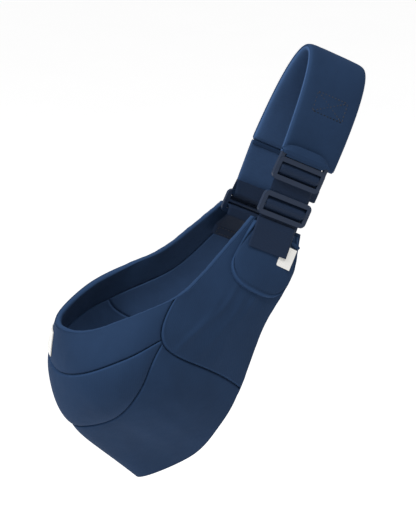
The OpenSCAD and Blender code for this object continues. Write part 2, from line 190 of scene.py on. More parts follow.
def gore_edge(t):
    start = JUNCTION + SEAM_HALF
    side = np.clip((np.abs(t - T_FOLD) - (T_FOLD - T_SEAM)) / T_SEAM, 0, 1)
    return start + (GORE_AT_FOLD - start) * seam_share(t) + 0.28 * side


# ---- mesh building ------------------------------------------------------------------------------


def new_piece(name, points, faces, fabric, edge_highlight=None):
    """A mesh object from points in the strap's frame. fabric holds the place across and along
    the cloth in millimetres, which the weave follows; the last argument is 1 on edges that get
    a painted highlight."""
    mesh = bpy.data.meshes.new(name)
    mesh.from_pydata(to_row(points).tolist(), [], faces)
    mesh.polygons.foreach_set("use_smooth", [True] * len(mesh.polygons))
    lay = mesh.attributes.new("fabric", "FLOAT_VECTOR", "POINT")
    lay.data.foreach_set("vector", (np.asarray(fabric, float) * MM).astype(np.float32).ravel())
    edge_shine = mesh.attributes.new("edge_highlight", "FLOAT", "POINT")
    if edge_highlight is not None:
        edge_shine.data.foreach_set("value", np.asarray(edge_highlight, np.float32).ravel())
    mesh.set_sharp_from_angle(angle=math.radians(62))
    piece = bpy.data.objects.new(name, mesh)
    bpy.context.scene.collection.objects.link(piece)
    return piece


def grid_faces(rows, cols, start=0, flip=False):
    """Quads over a grid of points that begins at point number start."""
    i, j = np.meshgrid(np.arange(rows - 1), np.arange(cols - 1), indexing="ij")
    a = (start + i * cols + j).ravel()
    quads = np.stack([a, a + 1, a + cols + 1, a + cols], -1)
    if flip:
        quads = quads[:, ::-1]
    return quads.tolist()


def shell_faces(rows, cols):
    """Faces of a closed solid: an upper grid, an under grid after it, and the walls between."""
    count = rows * cols
    faces = grid_faces(rows, cols) + grid_faces(rows, cols, count, True)
    edge = list(range(cols))
    edge += [i * cols + cols - 1 for i in range(1, rows)]
    edge += [(rows - 1) * cols + j for j in range(cols - 2, -1, -1)]
    edge += [i * cols for i in range(rows - 2, 0, -1)]
    for a, b in zip(edge, edge[1:] + edge[:1]):
        faces.append([b, a, a + count, b + count])
    return faces


def metric(points):
    """Lengths along the rows and the columns of a grid of points, from each one's start."""
    across = np.linalg.norm(np.diff(points, axis=1), axis=-1)
    along = np.linalg.norm(np.diff(points, axis=0), axis=-1)
    a = np.concatenate([np.zeros((len(points), 1)), np.cumsum(across, 1)], 1)
    b = np.concatenate([np.zeros((1, points.shape[1])), np.cumsum(along, 0)], 0)
    return a, b


def shell(name, upper, under, edge_highlight=None):
    """A closed solid between two grids of points."""
    a, b = metric(upper)
    lay = np.stack([a, b, np.zeros_like(a)], -1)
    rows, cols = a.shape
    points = np.concatenate([upper.reshape(-1, 3), under.reshape(-1, 3)])
    fabric = np.concatenate([lay.reshape(-1, 3)] * 2)
    highlight_share = None if edge_highlight is None else np.concatenate([edge_highlight.ravel()] * 2)
    return new_piece(name, points, shell_faces(rows, cols), fabric, highlight_share)


def loft(name, rings, edge_highlight=None):
    """A closed solid through rings of points, each the same way round, capped at both ends."""
    rows, cols = rings.shape[:2]
    i, j = np.meshgrid(np.arange(rows - 1), np.arange(cols), indexing="ij")
    a, b = (i * cols + j).ravel(), (i * cols + (j + 1) % cols).ravel()
    faces = np.stack([a, b, b + cols, a + cols], -1).tolist()
    for start in (0, (rows - 1) * cols):
        half = cols // 2
        for k in range(half - 1):
            m = cols - 1
            quad = [start + k, start + k + 1, start + m - k - 1, start + m - k]
            if len(set(quad)) == 4:
                faces.append(quad if start else quad[::-1])
    closed = np.concatenate([rings, rings[:, :1]], 1)
    across = metric(closed)[0]
    around = np.minimum(across[:, :-1], across[:, -1:] - across[:, :-1])
    along = metric(rings)[1]
    lay = np.stack([around, along, np.zeros_like(along)], -1)
    return new_piece(name, rings.reshape(-1, 3), faces, lay.reshape(-1, 3), edge_highlight)


def facing_out(piece):
    """Turns the piece's faces outward."""
    bm = bmesh.new()
    bm.from_mesh(piece.data)
    bmesh.ops.recalc_face_normals(bm, faces=bm.faces)
    bm.to_mesh(piece.data)
    bm.free()
    return piece


def finish_piece(piece, body, material, nodes=()):
    """Material, body and the CAD nodes that the piece stands for."""
    facing_out(piece)
    piece.data.materials.append(material)
    if body:
        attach(piece, body)
    if nodes:
        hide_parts(*nodes)
    return piece


# ---- materials ----------------------------------------------------------------------------------


class Nodes:
    """Short calls that add and join shader nodes."""

    def __init__(self, name):
        self.material = bpy.data.materials.new(name)
        self.material.use_nodes = True
        self.tree = self.material.node_tree
        self.shader = self.tree.nodes["Principled BSDF"]

    def add(self, kind, inputs=(), **settings):
        node = self.tree.nodes.new(kind)
        for key, value in settings.items():
            setattr(node, key, value)
        for key, value in dict(inputs).items():
            if isinstance(value, bpy.types.NodeSocket):
                self.tree.links.new(value, node.inputs[key])
            else:
                node.inputs[key].default_value = value
        return node

    def math(self, operation, a, b):
        return self.add("ShaderNodeMath", {0: a, 1: b}, operation=operation).outputs[0]

    def attribute(self, name):
        return self.add("ShaderNodeAttribute", attribute_name=name)

    def noise(self, scale, detail=3.0, vector=None):
        place = vector or self.add("ShaderNodeTexCoord").outputs["Object"]
        inputs = {"Vector": place, "Scale": scale, "Detail": detail}
        return self.add("ShaderNodeTexNoise", inputs).outputs["Fac"]

    def wave(self, vector, scale, distortion=0.0, direction="X"):
        inputs = {"Vector": vector, "Scale": scale, "Distortion": distortion}
        return self.add("ShaderNodeTexWave", inputs, bands_direction=direction).outputs["Fac"]

    def mix(self, share, a, b):
        node = self.add("ShaderNodeMix", data_type="RGBA")
        for index, value in ((0, share), (6, a), (7, b)):
            if isinstance(value, bpy.types.NodeSocket):
                self.tree.links.new(value, node.inputs[index])
            else:
                node.inputs[index].default_value = value
        return node.outputs[2]

    def bump(self, height, strength, distance, under=None):
        inputs = {"Height": height, "Strength": strength, "Distance": distance}
        if under is not None:
            inputs["Normal"] = under
        return self.add("ShaderNodeBump", inputs).outputs["Normal"]

    def join(self, **sockets):
        for key, value in sockets.items():
            name = key.replace("_", " ")
            if isinstance(value, bpy.types.NodeSocket):
                self.tree.links.new(value, self.shader.inputs[name])
            else:
                self.shader.inputs[name].default_value = value
        return self.material


def shade(rgb, k):
    return (rgb[0] * k, rgb[1] * k, rgb[2] * k, 1.0)


def cotton(name, rgb, sheen=0.07):
    """Smooth cotton twill: fine slanted ribs, soft fibres, small changes of colour, and a painted
    highlight: paler colour along edges and seam rolls, where light would catch them."""
    n = Nodes(name)
    lay = n.attribute("fabric").outputs["Vector"]
    slanted = n.add("ShaderNodeMapping", {"Vector": lay, "Rotation": (0, 0, math.radians(58))})
    rib = n.wave(slanted.outputs["Vector"], 190.0, 0.6)
    weft = n.wave(lay, 330.0, 0.4, "Y")
    grain = n.math("ADD", n.math("MULTIPLY", rib, 0.65), n.math("MULTIPLY", weft, 0.35))
    fibre = n.noise(1400.0, 2.0)
    cloud = n.noise(26.0, 4.0)
    tone = n.mix(cloud, shade(rgb, 0.74), shade(rgb, 1.22))
    tone = n.mix(n.math("MULTIPLY", grain, 0.35), tone, shade(rgb, 1.45))
    tone = n.mix(n.math("MULTIPLY", fibre, 0.18), tone, shade(rgb, 0.55))
    # painted highlight: marked edges are lightened towards twice the cloth's colour, speckled by the
    # fibres
    highlight_share = n.math("MULTIPLY", n.attribute("edge_highlight").outputs["Fac"], n.math("ADD", fibre, 0.25))
    tone = n.mix(highlight_share, tone, shade(rgb, 2.0))
    height = n.math("ADD", grain, n.math("MULTIPLY", fibre, 0.6))
    soft = n.bump(n.noise(60.0, 3.0), 0.5, 0.0016)
    normal = n.bump(height, 0.35, 0.00018, soft)
    rough = n.math("ADD", n.math("MULTIPLY", fibre, 0.12), 0.78)
    n.join(Base_Color=tone, Roughness=rough, Normal=normal, Sheen_Weight=sheen)
    n.join(Sheen_Roughness=0.45, Specular_IOR_Level=0.12, Sheen_Tint=shade(rgb, 9.0))
    return n.material


def woven_band(name, rgb):
    """Ribbed webbing: close cords along the band with a fine herringbone across them."""
    n = Nodes(name)
    lay = n.attribute("fabric").outputs["Vector"]
    cords = n.wave(lay, 210.0, 0.0, "X")
    zigzag = n.add("ShaderNodeMapping", {"Vector": lay, "Rotation": (0, 0, math.radians(40))})
    picks = n.wave(zigzag.outputs["Vector"], 260.0, 0.3, "Y")
    grain = n.math("ADD", n.math("MULTIPLY", cords, 0.6), n.math("MULTIPLY", picks, 0.4))
    fibre = n.noise(1800.0, 2.0)
    tone = n.mix(grain, shade(rgb, 0.7), shade(rgb, 1.35))
    tone = n.mix(n.math("MULTIPLY", fibre, 0.2), tone, shade(rgb, 1.9))
    height = n.math("ADD", grain, n.math("MULTIPLY", fibre, 0.3))
    normal = n.bump(height, 0.6, 0.0003)
    n.join(Base_Color=tone, Roughness=0.66, Normal=normal, Specular_IOR_Level=0.16)
    n.join(Sheen_Weight=0.02, Sheen_Roughness=0.4)
    return n.material


def moulded(name, rgb):
    """Satin moulded plastic with a spark-eroded grain and faint scuffs."""
    n = Nodes(name)
    grain = n.noise(2600.0, 2.0)
    scuff = n.noise(140.0, 6.0)
    tone = n.mix(scuff, shade(rgb, 0.9), shade(rgb, 1.12))
    rough = n.math("ADD", n.math("MULTIPLY", scuff, 0.16), 0.34)
    normal = n.bump(grain, 0.3, 0.00012)
    n.join(Base_Color=tone, Roughness=rough, Normal=normal, Specular_IOR_Level=0.3)
    return n.material


def twisted_thread(name, rgb):
    n = Nodes(name)
    fibre = n.noise(2200.0, 2.0)
    twist = n.wave(n.attribute("fabric").outputs["Vector"], 900.0, 0.2, "DIAGONAL")
    tone = n.mix(twist, shade(rgb, 0.75), shade(rgb, 1.3))
    n.join(Base_Color=tone, Roughness=0.55, Normal=n.bump(fibre, 0.4, 0.0001))
    return n.material


def satin_label(name, rgb):
    """Woven satin label, blank: fine even threads both ways."""
    n = Nodes(name)
    lay = n.attribute("fabric").outputs["Vector"]
    warp, weft = n.wave(lay, 420.0, 0.2), n.wave(lay, 300.0, 0.2, "Y")
    grain = n.math("MULTIPLY", warp, weft)
    tone = n.mix(grain, shade(rgb, 0.86), shade(rgb, 1.04))
    normal = n.bump(grain, 0.4, 0.00015)
    n.join(Base_Color=tone, Roughness=0.48, Normal=normal, Sheen_Weight=0.2)
    return n.material


def studio_floor(name):
    n = Nodes(name)
    tone = n.mix(n.noise(3.0, 3.0), (0.9, 0.9, 0.9, 1), (0.94, 0.94, 0.94, 1))
    n.join(Base_Color=tone, Roughness=0.9, Normal=n.bump(n.noise(400.0, 3.0), 0.05, 0.001))
    n.join(Emission_Color=(1.0, 1.0, 1.0, 1), Emission_Strength=0.54)
    return n.material


NAVY = (0.0112, 0.0280, 0.0670)
LINING = (0.0260, 0.0560, 0.1250)
BAND = (0.0054, 0.0142, 0.0360)
PLASTIC = (0.0070, 0.0170, 0.0420)
navy = cotton("navy_cotton", NAVY)
lining = cotton("lining_cotton", LINING, 0.08)
band = woven_band("navy_webbing", BAND)
plastic = moulded("satin_plastic", PLASTIC)
thread = twisted_thread("navy_thread", (0.0035, 0.0085, 0.0210))
label = satin_label("blank_label", (0.80, 0.79, 0.76))
floor_paint = studio_floor("pale_floor")

# ---- shoulder strap ------------------------------------------------------------------------------


def pad_profile(count):
    """Across-share and height-share of half a pad's section, from one side to the other."""
    a = np.linspace(0, np.pi, count)
    x = np.sign(np.cos(a)) * np.abs(np.cos(a)) ** 0.27
    return x, np.sin(a) ** 0.62


def closing(u_abs, length, reach):
    """Thickness share that closes the pad's end over the last few millimetres."""
    left = length * (1 - u_abs * u_abs)
    return np.sqrt(np.clip(1 - (1 - np.clip(left / reach, 0, 1)) ** 2, 0.012, 1))


def dent(distance, width):
    """A soft dent's share of its depth, at a distance from its middle."""
    return np.exp(-(distance / width) ** 2)


# The stitched box on the front leg: depth below the fold of its two ends, and half its width
BOX_TOP, BOX_LOW, BOX_HALF = 40.0, 61.0, 20.0


def box_dents(s, x):
    """Depth share of the boxed lines of stitching on the front leg, with their diagonals."""
    top, low, half = BOX_TOP, BOX_LOW, BOX_HALF
    inside = smoothstep((half + 1 - np.abs(x)) / 1.5) * smoothstep((s - top + 1) / 1.5)
    inside = inside * smoothstep((low + 1 - s) / 1.5)
    lines = np.maximum(dent(s - top, 1.4), dent(s - low, 1.4))
    lines = np.maximum(lines, np.maximum(dent(x - half, 1.4), dent(x + half, 1.4)))
    slope = (low - top) / (2 * half)
    size = math.hypot(1, slope)
    for sign in (1, -1):
        off = ((s - (top + low) / 2) - sign * slope * x) / size
        lines = np.maximum(lines, dent(off, 1.3))
    return lines * inside


def pad_half(name, side, steps=190, count=72):
    """One face of the folded shoulder pad with half of its foam. side is 1 outside, -1 inside."""
    u = np.linspace(-1, 1, steps)[:, None]
    share, high = pad_profile(count)
    x = strap_half(u) * share[None, :]
    s = np.where(u < 0, FRONT_LEG, REAR_LEG) * u * u
    crown = 1 - 0.05 * share[None, :] ** 2
    lump = 0.16 * np.sin(s / 17 + 1.3 * np.sign(u)) * np.cos(x / 15 + s / 40)
    d = side * (PAD_OUT + lump) * high[None, :] * crown * closing(np.abs(u), FRONT_LEG, 5)
    if side > 0:
        d = d - 0.4 * box_dents(s, x) * (u < 0)
    x = x * (1 - 0.016 * dent(d, 0.7))
    ends = 1 - 0.02 * (1 - closing(np.abs(u), FRONT_LEG, 5))
    face = strap_point(u, x * ends, d)
    core = strap_point(u, x * 0.985 * ends, np.full_like(d, -0.12 * side))
    a = np.abs(share[None, :]) * np.ones_like(u)
    rings = np.concatenate([face, core[:, ::-1]], 1)
    # painted highlight along the pad's two side edges
    edge_shine = smoothstep((a - 0.9) / 0.1) * 0.35
    return loft(name, rings, np.concatenate([edge_shine, edge_shine[:, ::-1]], 1))


def build_shoulder():
    cover = pad_half("strap_cover_pad", 1)
    nodes = ["shoulder_cover", "shoulder_foam", "shoulder_webbing", "shoulder_edge_seams"]
    finish_piece(cover, "shoulder_strap", navy, nodes)
    inner = pad_half("strap_lining_pad", -1)
    finish_piece(inner, "shoulder_strap", lining, ["shoulder_lining"])


def build_rear_end(steps=60, count=56):
    """The thinner end of the rear leg, in two halves like the pad above it."""
    k = np.linspace(0, 1, steps)[:, None]
    u = np.sqrt((REAR_LEG + 0.3 + (REAR_TOTAL - REAR_LEG - 0.3) * k) / REAR_TOTAL)
    share, high = pad_profile(count)
    closed_over = 3.0
    near_end = np.clip(np.minimum(k, 1 - k) * (REAR_TOTAL - REAR_LEG) / closed_over, 0, 1)
    for side, name, paint, slot, nodes in (
        (1, "rear_end_cover", navy, "navy_cloth", ["rear_strap_cover", "rear_strap_padding"]),
        (-1, "rear_end_lining", lining, "lining_cloth", ["rear_strap_lining"]),
    ):
        x = (PAD_END_WIDE - (PAD_END_WIDE - REAR_END_WIDE) * k) / 2 * share[None, :]
        ends = np.sqrt(np.clip(1 - (1 - near_end) ** 2, 0.03, 1))
        d = side * REAR_END_OUT * high[None, :] * ends * (1 - 0.08 * share[None, :] ** 2)
        face = strap_point(u, x, d, FRONT_LEG, REAR_TOTAL)
        core = strap_point(u, x * 0.985, np.full_like(d, -0.1 * side), FRONT_LEG, REAR_TOTAL)
        piece = loft(name, np.concatenate([face, core[:, ::-1]], 1))
        finish_piece(piece, "shoulder_strap", paint, nodes)
    build_rear_tape()


def build_rear_tape():
    """Tape over the cross seam between the pad and the thinner end."""
    half = 34.4
    u = np.sqrt((REAR_LEG + np.linspace(-0.6, 4.6, 14)[:, None]) / REAR_TOTAL)
    x = np.linspace(-half, half, 40)[None, :]
    v = np.linspace(-1, 1, 14)[:, None]
    rise = 0.75 * (1 - np.abs(v) ** 4) * (1 - np.abs(x / half) ** 30)
    upper = strap_point(u, x, -REAR_END_OUT - 0.15 - rise, FRONT_LEG, REAR_TOTAL)
    under = strap_point(u, x, np.full_like(rise, -REAR_END_OUT), FRONT_LEG, REAR_TOTAL)
    piece = shell("rear_seam_tape_piece", upper, under)
    finish_piece(piece, "shoulder_strap", navy, ["rear_seam_tape"])


# ---- webbing and the folded tab ------------------------------------------------------------------


def rounded(path, radius, step=0.8):
    """A path through the given places in Y and Z, evenly spaced, its corners eased."""
    p = np.array(path, float)
    along = np.concatenate([[0], np.cumsum(np.linalg.norm(np.diff(p, axis=0), axis=1))])
    at = np.linspace(0, along[-1], int(along[-1] / step) + 2)
    q = np.stack([np.interp(at, along, p[:, k]) for k in range(2)], -1)
    reach = max(1, int(radius / step))
    pad = np.concatenate([2 * q[:1] - q[reach:0:-1], q, 2 * q[-1:] - q[-2:-reach - 2:-1]])
    kernel = np.hanning(2 * reach + 3)[1:-1]
    kernel = kernel / kernel.sum()
    return np.stack([np.convolve(pad[:, k], kernel, "valid") for k in range(2)], -1)


def arc(centre, r, start, end, n=14):
    a = np.radians(np.linspace(start, end, n))
    return (np.array(centre) + r * np.stack([np.cos(a), np.sin(a)], -1)).tolist()


def ribbon_rings(line, width, thick, middle=0.0, count=26):
    """Sections of a flat woven band: slightly thicker selvedges and round edges."""
    tangent = unit(np.gradient(line, axis=0))
    normal = np.stack([-tangent[:, 1], tangent[:, 0]], -1)
    share = np.linspace(1, -1, count)
    profile = 0.5 * thick * (1 - np.abs(share) ** 26)
    profile = profile + 0.10 * dent(np.abs(share) * width / 2 - width / 2 + 1.4, 0.7)
    x = np.concatenate([share, share[::-1]]) * width / 2
    d = np.concatenate([profile, -profile[::-1]])
    rings = np.zeros((len(line), 2 * count, 3))
    rings[:, :, 0] = x[None, :] + (middle[:, None] if np.ndim(middle) else middle)
    rings[:, :, 1] = line[:, None, 0] + normal[:, None, 0] * d[None, :]
    rings[:, :, 2] = line[:, None, 1] + normal[:, None, 1] * d[None, :]
    return rings


# The webbing's middle across the strap. Of each buckle: y of its middle, z of its top and bottom
# edge (TOP, LOW), of its middle bar (MID) and of the bar that the tab goes round (AXIS)
WEB_X = -9.5
LOCK_Y, LOCK_LOW, LOCK_AXIS, LOCK_MID = -43.5, -136.2, -106.6, -123.65
KEEP_Y, KEEP_TOP, KEEP_LOW, KEEP_MID = -45.0, -149.6, -176.1, -162.85
REAR_Y, REAR_TOP, REAR_LOW, REAR_MID = 27.4, -168.0, -194.5, -181.25
# The rear webbing's sewn end, in y and z
REAR_SEWN = [[36.2, -222], [34.6, -211]]
BAR = 5.2
WEB = 1.6
WEB_WIDE = 50.0
# How far the webbing's middle lies behind a buckle's, and before it where it crosses the bar
BEHIND = 3.1
OVER = 3.1


def build_front_webbing():
    """The run from the patch through the keeper, and the part threaded in the ladder lock."""
    path = [
        [-42.6, -183], [KEEP_Y + BEHIND, KEEP_LOW - 1.5], [KEEP_Y + BEHIND, KEEP_LOW + BAR + 1],
        [KEEP_Y - OVER, KEEP_MID - 1.6], [KEEP_Y - OVER, KEEP_MID + 1.6],
        [KEEP_Y + BEHIND, KEEP_TOP - BAR - 1], [KEEP_Y + BEHIND, KEEP_TOP + 1],
        [LOCK_Y + BEHIND + 0.2, LOCK_LOW - 1], [LOCK_Y + BEHIND + 0.2, LOCK_LOW + 3.6],
    ]
    line = rounded(path, 1.6)
    middle = WEB_X + 0.2 + 1.1 * smoothstep((line[:, 0] - KEEP_Y) / 2.5)
    piece = loft("front_webbing_run", ribbon_rings(line, WEB_WIDE + 1.2, WEB, middle))
    finish_piece(piece, None, band, ["front_webbing"])
    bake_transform(piece)
    path = [
        [LOCK_Y + BEHIND, LOCK_LOW + 1.2], [LOCK_Y + BEHIND, LOCK_LOW + BAR + 1],
        [LOCK_Y - OVER, LOCK_MID - 1.6], [LOCK_Y - OVER, LOCK_MID + 1.6],
        [LOCK_Y + BEHIND, LOCK_MID + 8.0], [LOCK_Y + BEHIND + 0.4, LOCK_MID + 13.0],
        [LOCK_Y + BEHIND + 3.6, LOCK_MID + 11.6], [LOCK_Y + BEHIND + 4.4, LOCK_MID + 4],
        [LOCK_Y + BEHIND + 4.6, LOCK_MID - 8.4],
    ]
    line = rounded(path, 1.4, 0.5)
    middle = WEB_X + 0.2 + 1.1 * smoothstep((line[:, 0] - LOCK_Y) / 2.5)
    piece = loft("threaded_webbing", ribbon_rings(line, WEB_WIDE + 1.2, WEB, middle))
    finish_piece(piece, "ladder_lock", band)


def build_patch():
    """The webbing's sewn end on the flap, with its doubled hem."""
    path = [[-44.6, -179.6], [-46.5, -186], [-48.2, -196], [-50.6, -212]]
    line = rounded(path, 3)
    low = smoothstep((-205.0 - line[:, 1]) / 1.2)
    rings = ribbon_rings(line, WEB_WIDE, WEB, -11.0, 40)
    out = rings[:, :40].copy()
    out[..., 1] -= 1.0 * low[:, None] * (1 - np.abs(np.linspace(1, -1, 40)) ** 20)[None, :]
    groove = dent(line[:, 1] + 207.4, 0.6) + dent(line[:, 1] + 181.5, 0.6)
    out[..., 1] += 0.45 * groove[:, None]
    rings[:, :40] = out
    piece = loft("webbing_patch_piece", rings)
    finish_piece(piece, "pouch", band, ["webbing_patch"])


def build_tail():
    """The webbing's hemmed tail, behind the ladder lock."""
    top, low, y = -132.6, -146.6, -29.6
    path = [[y, top], [y, low + 1.0], [y + 0.8, low + 0.2], [y + 1.6, low + 1.0], [y + 1.7, top - 1]]
    piece = loft("webbing_tail_piece", ribbon_rings(rounded(path, 0.8, 0.5), WEB_WIDE, WEB, 7.0))
    finish_piece(piece, "webbing_tail", band, ["webbing_tail", "tail_hem"])


def build_rear_webbing():
    """The loop on the strap's rear end, and the run from the rear panel through the slider."""
    loop_r = math.hypot(BAR, 4) / 2 + 0.3 + WEB / 2
    z = REAR_TOP - BAR / 2
    path = [[REAR_Y + 3.1, z + 14]] + arc([REAR_Y, z], loop_r, 0, -180)
    path += [[REAR_Y + 1.1, z + 14]]
    piece = loft("rear_loop_piece", ribbon_rings(rounded(path, 1.0, 0.5), WEB_WIDE, WEB, WEB_X))
    finish_piece(piece, "shoulder_strap", band, ["rear_upper_loop"])
    path = REAR_SEWN + [
        [REAR_Y - 7.7, REAR_LOW - 1], [REAR_Y - 5.1, REAR_MID - 5.6],
        [REAR_Y + 3.8, REAR_MID - 1.6], [REAR_Y + 3.8, REAR_MID + 2], [REAR_Y + 4.2, REAR_MID + 5.6],
    ]
    piece = loft("rear_webbing_piece", ribbon_rings(rounded(path, 1.0, 0.5), WEB_WIDE, WEB, WEB_X))
    finish_piece(piece, "pouch", band, ["rear_webbing"])


def build_tab():
    """Fabric tab folded round the ladder lock's upper bar, its top corners rounded."""
    ply, bar_r, gap = 1.5, 2.3, 0.3
    r = bar_r + gap + ply / 2
    half, narrow, top = 30.5, 24.7, -96.0
    path = [[-41.7, top], [LOCK_Y - r, LOCK_AXIS + 3.0]]
    path += arc([LOCK_Y, LOCK_AXIS], r, 180, 360) + [[-39.9, top]]
    line = rounded(path, 0.8, 0.4)
    share = np.linspace(1, -1, 60)
    z = line[:, 1]
    front = line[:, 0] < LOCK_Y
    above = z - LOCK_AXIS
    blend = np.where(front, smoothstep((above + 1.4) / 1.2), smoothstep((above - 0.6) / 1.6))
    wide = narrow + (half - narrow) * blend
    tangent = unit(np.gradient(line, axis=0))
    normal = np.stack([-tangent[:, 1], tangent[:, 0]], -1)
    edge = 1 - np.abs(share) ** 18
    arch = -7.0 * np.abs(share) ** 4
    up = smoothstep((above - 1) / 9.0)
    groove = dent(above[:, None] - 2.2, 0.6) * np.ones((1, 60))
    rings = np.zeros((len(line), 120, 3))
    for part, sign in ((slice(0, 60), 1), (slice(60, 120), -1)):
        s = share if sign > 0 else share[::-1]
        e = edge if sign > 0 else edge[::-1]
        lift = arch if sign > 0 else arch[::-1]
        d = sign * ply / 2 * e[None, :] - sign * 0.2 * groove
        rings[:, part, 0] = s[None, :] * wide[:, None] + WEB_X
        rings[:, part, 1] = line[:, None, 0] + normal[:, None, 0] * d
        rings[:, part, 2] = line[:, None, 1] + normal[:, None, 1] * d + up[:, None] * lift[None, :]
    # painted highlight along the tab's two side edges
    edge_shine = np.tile(np.concatenate([np.abs(share) ** 30, np.abs(share[::-1]) ** 30]), (len(line), 1))
    piece = loft("adjuster_tab_piece", rings, 0.5 * edge_shine)
    finish_piece(piece, "shoulder_strap", navy, ["adjuster_tab"])


def build_buckles():
    """The CAD's buckles, with softened edges."""
    for name in ("ladder_lock", "keeper_slider", "rear_slider"):
        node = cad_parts[name]
        node.data.materials.clear()
        node.data.materials.append(plastic)
        bevel = node.modifiers.new("soft_edges", "BEVEL")
        bevel.width = 0.0009
        bevel.segments = 3
        bevel.limit_method = "ANGLE"
        bevel.angle_limit = math.radians(50)
        bevel.harden_normals = True


# ---- pouch ---------------------------------------------------------------------------------------


def rim_line(t):
    return np.zeros_like(t)


def hem_line(t):
    return np.ones_like(t)


def panel_grid(t0, t1, low, high, rows, cols):
    """t and v over one panel, between two edges given as functions of t."""
    t = np.linspace(t0, t1, rows)[:, None] * np.ones((1, cols))
    a, b = low(t), high(t)
    return t, a + (b - a) * np.linspace(0, 1, cols)[None, :]


def border_lengths(points):
    """Millimetres to the grid's four borders: low v, high v, low t, high t."""
    a, b = metric(points)
    return a, a[:, -1:] - a, b, b[-1:] - b


def folds(t, v, list_of_folds):
    """Soft wrinkles: each is (t, v, lean, length, width, height) in panel shares."""
    out = np.zeros_like(t)
    for ft, fv, lean, length, width, height in list_of_folds:
        dt, dv = (t - ft) * 45, (v - fv) * 150
        c, s = math.cos(lean), math.sin(lean)
        along, across = dt * c + dv * s, -dt * s + dv * c
        bend = across + 0.004 * along * along
        out += height * np.exp(-(along / length) ** 2 - (bend / width) ** 2)
    return out


def seam_drop(distance, kind):
    """Height change beside a seam: 'over' rolls proud and down, 'under' dips, 'edge' is flat."""
    if kind == "edge":
        return 0 * distance
    if kind == "over":
        roll = 0.55 * dent(distance - 2.2, 1.7)
        return roll - 2.3 * np.clip(1 - distance / 1.5, 0, 1) ** 2.2
    return -2.3 * np.clip(1 - distance / 1.9, 0, 1) ** 1.6 - 0.5 * dent(distance, 4.0)


def puff(distance, kind, reach):
    """How far the padding has swollen at this distance from a seam."""
    return np.ones_like(distance) if kind == "edge" else 1 - np.exp(-distance / reach)


def outer_panel(name, t, v, kinds, fill, wrinkles=(), nodes=()):
    """A padded outer panel. kinds names its borders: low v, high v, low t, high t."""
    middle, normal, _ = cloth_frame(t, v)
    far = border_lengths(middle)
    swell = np.ones_like(t)
    drop = np.zeros_like(t)
    for distance, kind in zip(far, kinds):
        swell = swell * puff(distance, kind, 11.0)
        change = seam_drop(distance, kind)
        drop = np.minimum(drop, change) + np.maximum(0, change)
    soft = np.ones_like(t)
    for distance, kind in zip(far, kinds):
        soft = soft * smoothstep(distance / (14.0 if kind == "edge" else 7.0))
    h = FACE + fill * swell + drop + soft * folds(t, v, wrinkles)
    upper = middle + normal * h[..., None]
    under = middle - normal * 1.6
    # painted highlight on the proud roll beside each 'over' seam
    highlight_share = np.zeros_like(t)
    for distance, kind in zip(far, kinds):
        if kind == "over":
            highlight_share = np.maximum(highlight_share, 0.55 * dent(distance - 0.9, 0.9))
    piece = shell(name, upper, under, highlight_share)
    finish_piece(piece, "pouch", navy, nodes)
    return piece


# Wrinkles of each panel, as folds() reads them
FRONT_FOLDS = [
    (2.55, 0.42, 0.5, 26, 5, 1.1), (2.3, 0.60, 0.35, 30, 6, 0.9), (2.0, 0.40, 0.3, 24, 5, 0.9),
    (1.75, 0.66, 0.2, 26, 6, 0.7), (2.7, 0.75, 0.5, 24, 6, 0.8),
]
REAR_FOLDS = [
    (9.45, 0.42, -0.5, 26, 5, 1.0), (9.8, 0.62, -0.35, 30, 6, 0.9), (10.2, 0.4, -0.3, 24, 5, 0.8),
]
BAND_FOLDS = [
    (4.6, 0.10, 0.9, 14, 6, 0.5), (7.4, 0.10, -0.9, 14, 6, 0.5), (5.4, 0.08, 1.2, 10, 5, 0.4),
]
GORE_FOLDS = [
    (3.7, 0.42, 1.2, 22, 7, 0.8), (4.3, 0.36, 0.9, 24, 8, 0.7), (5.0, 0.45, 1.2, 26, 8, 0.6),
    (8.3, 0.42, -1.2, 22, 7, 0.8), (7.5, 0.38, -0.9, 24, 8, 0.7),
]
BASE_FOLDS = [
    (3.5, 0.62, 1.0, 30, 7, 1.2), (3.9, 0.75, 1.1, 32, 7, 1.1), (4.4, 0.80, 1.2, 30, 8, 0.9),
    (5.0, 0.85, 1.2, 24, 8, 0.8), (8.4, 0.66, -1.0, 30, 7, 1.1), (7.8, 0.8, -1.1, 30, 8, 0.9),
]
FACING_FOLDS = [
    (5.2, 0.08, 1.4, 12, 3, 0.7), (5.5, 0.09, 1.5, 12, 3, 0.8), (5.8, 0.08, 1.5, 12, 3, 0.8),
    (6.1, 0.09, 1.6, 12, 3, 0.7), (6.5, 0.08, 1.6, 12, 3, 0.8), (6.9, 0.1, 1.7, 12, 3, 0.6),
]


def build_outer_panels():
    t, v = panel_grid(0, T_SEAM, rim_line, hem_line, 130, 110)
    outer_panel("front_panel", t, v, ("edge", "edge", "edge", "over"), 1.2, FRONT_FOLDS,
                ["front_side_panel", "pouch_wadding"])
    t, v = panel_grid(T_REAR, T_END, rim_line, hem_line, 130, 110)
    outer_panel("rear_panel", t, v, ("edge", "edge", "over", "edge"), 1.2, REAR_FOLDS,
                ["rear_side_panel"])
    t, v = panel_grid(T_SEAM, T_REAR, rim_line, band_edge, 240, 40)
    outer_panel("rim_band_panel", t, v, ("edge", "under", "under", "under"), 1.0, BAND_FOLDS,
                ["rim_band"])
    t, v = panel_grid(T_SEAM, T_REAR, band_edge, gore_edge, 260, 60)
    outer_panel("cup_gore_panel", t, v, ("over", "under", "under", "under"), 2.4, GORE_FOLDS,
                ["cup_gore"])
    t, v = panel_grid(T_SEAM, T_REAR, gore_edge, hem_line, 260, 90)
    outer_panel("seat_base", t, v, ("over", "edge", "under", "under"), 2.2, BASE_FOLDS,
                ["seat_base_panel"])


